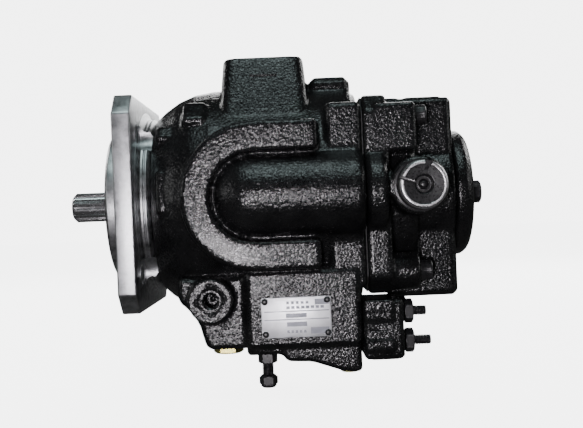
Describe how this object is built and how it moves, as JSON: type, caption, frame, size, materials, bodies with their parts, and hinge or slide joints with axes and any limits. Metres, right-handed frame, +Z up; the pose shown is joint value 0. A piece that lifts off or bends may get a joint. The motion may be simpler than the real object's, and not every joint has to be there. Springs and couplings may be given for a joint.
{
  "type": "axial piston pump",
  "caption": "Variable swash-plate axial piston pump with a square four-bolt flange, splined shaft, cast housing, end cover with two ports and a compensator valve.",
  "frame": {"origin": "centre of the mounting flange's front face, on the shaft axis", "axes": "+X along the shaft from the flange to the rear cover, +Z up, the control cylinder and nameplate face -Y"},
  "size_m": [0.356, 0.225, 0.275],
  "materials": {
    "bare_casting": "machined, bare",
    "bare_iron": "machined iron",
    "black_fittings": "black paint on machined steel",
    "bronze": "machined bronze",
    "ground_steel": "ground",
    "label_metal": "bright rolled plate",
    "painted_iron": "gloss black paint on a rough sand casting",
    "seal_rubber": "moulded",
    "spring_steel": "oil-tempered wire",
    "yellow_zinc": "yellow zinc plate"
  },
  "bodies": {
    "casing": {"mounting_flange": "bare_casting", "pump_housing": "painted_iron", "end_cover": "painted_iron", "cover_gasket": "seal_rubber", "rear_cover": "painted_iron", "rear_plug": "black_fittings", "relief_cap": "black_fittings", "valve_plate": "bronze", "shaft_seal": "seal_rubber", "front_bearing": "ground_steel", "rear_bearing": "ground_steel", "upper_cradle_bearing": "bronze", "lower_cradle_bearing": "bronze", "cover_bolt_1": "black_fittings", "cover_bolt_2": "black_fittings", "cover_bolt_3": "black_fittings", "cover_bolt_4": "black_fittings", "compensator_body": "painted_iron", "compensator_screw_1": "black_fittings", "compensator_screw_2": "black_fittings", "pressure_lock_nut": "black_fittings", "flow_lock_nut": "black_fittings", "front_drain_plug": "yellow_zinc", "rear_drain_plug": "yellow_zinc", "line_fitting": "black_fittings", "nameplate": "label_metal", "bias_spring": "spring_steel"},
    "shaft_group": {"drive_shaft": "ground_steel", "cylinder_block": "ground_steel", "retainer_guide": "ground_steel", "block_spring": "spring_steel"},
    "swash": {"swash_plate": "bare_iron"},
    "retainer": {"retainer_plate": "ground_steel"},
    "slipper_body_1": {"slipper_1": "bronze"},
    "piston_body_1": {"piston_1": "ground_steel"},
    "slipper_body_2": {"slipper_2": "bronze"},
    "piston_body_2": {"piston_2": "ground_steel"},
    "slipper_body_3": {"slipper_3": "bronze"},
    "piston_body_3": {"piston_3": "ground_steel"},
    "slipper_body_4": {"slipper_4": "bronze"},
    "piston_body_4": {"piston_4": "ground_steel"},
    "slipper_body_5": {"slipper_5": "bronze"},
    "piston_body_5": {"piston_5": "ground_steel"},
    "slipper_body_6": {"slipper_6": "bronze"},
    "piston_body_6": {"piston_6": "ground_steel"},
    "slipper_body_7": {"slipper_7": "bronze"},
    "piston_body_7": {"piston_7": "ground_steel"},
    "slipper_body_8": {"slipper_8": "bronze"},
    "piston_body_8": {"piston_8": "ground_steel"},
    "slipper_body_9": {"slipper_9": "bronze"},
    "piston_body_9": {"piston_9": "ground_steel"},
    "control_piston_body": {"control_piston": "ground_steel"},
    "bias_piston_body": {"bias_piston": "ground_steel"},
    "pressure_spool_body": {"pressure_spool": "ground_steel"},
    "pressure_adjuster_body": {"pressure_adjuster": "black_fittings"},
    "flow_spool_body": {"flow_spool": "ground_steel"},
    "flow_adjuster_body": {"flow_adjuster": "black_fittings"}
  },
  "joints": [
    {"name": "shaft_spin", "type": "hinge", "parent": "casing", "child": "shaft_group", "pos_m": [0, 0, 0], "axis": [1, 0, 0], "continuous": true},
    {"name": "swash_tilt", "type": "hinge", "parent": "casing", "child": "swash", "pos_m": [0.084, 0, 0], "axis": [0, 0, 1], "range_deg": [-15, 0]},
    {"name": "retainer_spin", "type": "hinge", "parent": "swash", "child": "retainer", "pos_m": [0.084, 0, 0], "axis": [0.9659, 0.2588, 0], "continuous": true},
    {"name": "slipper_1_turn", "type": "hinge", "parent": "retainer", "child": "slipper_body_1", "pos_m": [0.09479, -0.04028, 0], "axis": [0.9659, 0.2588, 0], "continuous": true},
    {"name": "piston_1_ball", "type": "hinge", "parent": "slipper_body_1", "child": "piston_body_1", "pos_m": [0.09479, -0.04028, 0], "axis": [0, 0, 1], "range_deg": [0, 15]},
    {"name": "slipper_2_turn", "type": "hinge", "parent": "retainer", "child": "slipper_body_2", "pos_m": [0.09227, -0.03086, 0.0268], "axis": [0.9659, 0.2588, 0], "continuous": true},
    {"name": "piston_2_ball", "type": "hinge", "parent": "slipper_body_2", "child": "piston_body_2", "pos_m": [0.09227, -0.03086, 0.0268], "axis": [0, 0, 1], "range_deg": [0, 15]},
    {"name": "slipper_3_turn", "type": "hinge", "parent": "retainer", "child": "slipper_body_3", "pos_m": [0.08587, -0.00699, 0.04107], "axis": [0.9659, 0.2588, 0], "continuous": true},
    {"name": "piston_3_ball", "type": "hinge", "parent": "slipper_body_3", "child": "piston_body_3", "pos_m": [0.08587, -0.00699, 0.04107], "axis": [0, 0, 1], "range_deg": [0, 15]},
    {"name": "slipper_4_turn", "type": "hinge", "parent": "retainer", "child": "slipper_body_4", "pos_m": [0.0786, 0.02014, 0.03611], "axis": [0.9659, 0.2588, 0], "continuous": true},
    {"name": "piston_4_ball", "type": "hinge", "parent": "slipper_body_4", "child": "piston_body_4", "pos_m": [0.0786, 0.02014, 0.03611], "axis": [0, 0, 1], "range_deg": [0, 15]},
    {"name": "slipper_5_turn", "type": "hinge", "parent": "retainer", "child": "slipper_body_5", "pos_m": [0.07386, 0.03785, 0.01426], "axis": [0.9659, 0.2588, 0], "continuous": true},
    {"name": "piston_5_ball", "type": "hinge", "parent": "slipper_body_5", "child": "piston_body_5", "pos_m": [0.07386, 0.03785, 0.01426], "axis": [0, 0, 1], "range_deg": [0, 15]},
    {"name": "slipper_6_turn", "type": "hinge", "parent": "retainer", "child": "slipper_body_6", "pos_m": [0.07386, 0.03785, -0.01426], "axis": [0.9659, 0.2588, 0], "continuous": true},
    {"name": "piston_6_ball", "type": "hinge", "parent": "slipper_body_6", "child": "piston_body_6", "pos_m": [0.07386, 0.03785, -0.01426], "axis": [0, 0, 1], "range_deg": [0, 15]},
    {"name": "slipper_7_turn", "type": "hinge", "parent": "retainer", "child": "slipper_body_7", "pos_m": [0.0786, 0.02014, -0.03611], "axis": [0.9659, 0.2588, 0], "continuous": true},
    {"name": "piston_7_ball", "type": "hinge", "parent": "slipper_body_7", "child": "piston_body_7", "pos_m": [0.0786, 0.02014, -0.03611], "axis": [0, 0, 1], "range_deg": [0, 15]},
    {"name": "slipper_8_turn", "type": "hinge", "parent": "retainer", "child": "slipper_body_8", "pos_m": [0.08587, -0.00699, -0.04107], "axis": [0.9659, 0.2588, 0], "continuous": true},
    {"name": "piston_8_ball", "type": "hinge", "parent": "slipper_body_8", "child": "piston_body_8", "pos_m": [0.08587, -0.00699, -0.04107], "axis": [0, 0, 1], "range_deg": [0, 15]},
    {"name": "slipper_9_turn", "type": "hinge", "parent": "retainer", "child": "slipper_body_9", "pos_m": [0.09227, -0.03086, -0.0268], "axis": [0.9659, 0.2588, 0], "continuous": true},
    {"name": "piston_9_ball", "type": "hinge", "parent": "slipper_body_9", "child": "piston_body_9", "pos_m": [0.09227, -0.03086, -0.0268], "axis": [0, 0, 1], "range_deg": [0, 15]},
    {"name": "control_stroke", "type": "slide", "parent": "casing", "child": "control_piston_body", "axis": [1, 0, 0], "range_m": [-0.02071, 0]},
    {"name": "bias_stroke", "type": "slide", "parent": "casing", "child": "bias_piston_body", "axis": [1, 0, 0], "range_m": [0, 0.02071], "deforming": ["bias_spring"]},
    {"name": "pressure_spool_slide", "type": "slide", "parent": "casing", "child": "pressure_spool_body", "axis": [1, 0, 0], "range_m": [-0.0015, 0.002]},
    {"name": "pressure_adjust", "type": "slide", "parent": "casing", "child": "pressure_adjuster_body", "axis": [1, 0, 0], "range_m": [-0.003, 0.003]},
    {"name": "flow_spool_slide", "type": "slide", "parent": "casing", "child": "flow_spool_body", "axis": [1, 0, 0], "range_m": [-0.0015, 0.002]},
    {"name": "flow_adjust", "type": "slide", "parent": "casing", "child": "flow_adjuster_body", "axis": [1, 0, 0], "range_m": [-0.003, 0.003]}
  ],
  "couplings": [
    {"joint": "retainer_spin", "follows": "shaft_spin", "ratio": 1},
    {"joint": "slipper_1_turn", "follows": "shaft_spin", "ratio": -1},
    {"joint": "piston_1_ball", "follows": "swash_tilt", "ratio": -1},
    {"joint": "slipper_2_turn", "follows": "shaft_spin", "ratio": -1},
    {"joint": "piston_2_ball", "follows": "swash_tilt", "ratio": -1},
    {"joint": "slipper_3_turn", "follows": "shaft_spin", "ratio": -1},
    {"joint": "piston_3_ball", "follows": "swash_tilt", "ratio": -1},
    {"joint": "slipper_4_turn", "follows": "shaft_spin", "ratio": -1},
    {"joint": "piston_4_ball", "follows": "swash_tilt", "ratio": -1},
    {"joint": "slipper_5_turn", "follows": "shaft_spin", "ratio": -1},
    {"joint": "piston_5_ball", "follows": "swash_tilt", "ratio": -1},
    {"joint": "slipper_6_turn", "follows": "shaft_spin", "ratio": -1},
    {"joint": "piston_6_ball", "follows": "swash_tilt", "ratio": -1},
    {"joint": "slipper_7_turn", "follows": "shaft_spin", "ratio": -1},
    {"joint": "piston_7_ball", "follows": "swash_tilt", "ratio": -1},
    {"joint": "slipper_8_turn", "follows": "shaft_spin", "ratio": -1},
    {"joint": "piston_8_ball", "follows": "swash_tilt", "ratio": -1},
    {"joint": "slipper_9_turn", "follows": "shaft_spin", "ratio": -1},
    {"joint": "piston_9_ball", "follows": "swash_tilt", "ratio": -1},
    {"joint": "control_stroke", "follows": "swash_tilt", "m_per_rad": 0.079089},
    {"joint": "bias_stroke", "follows": "swash_tilt", "m_per_rad": -0.079089}
  ]
}
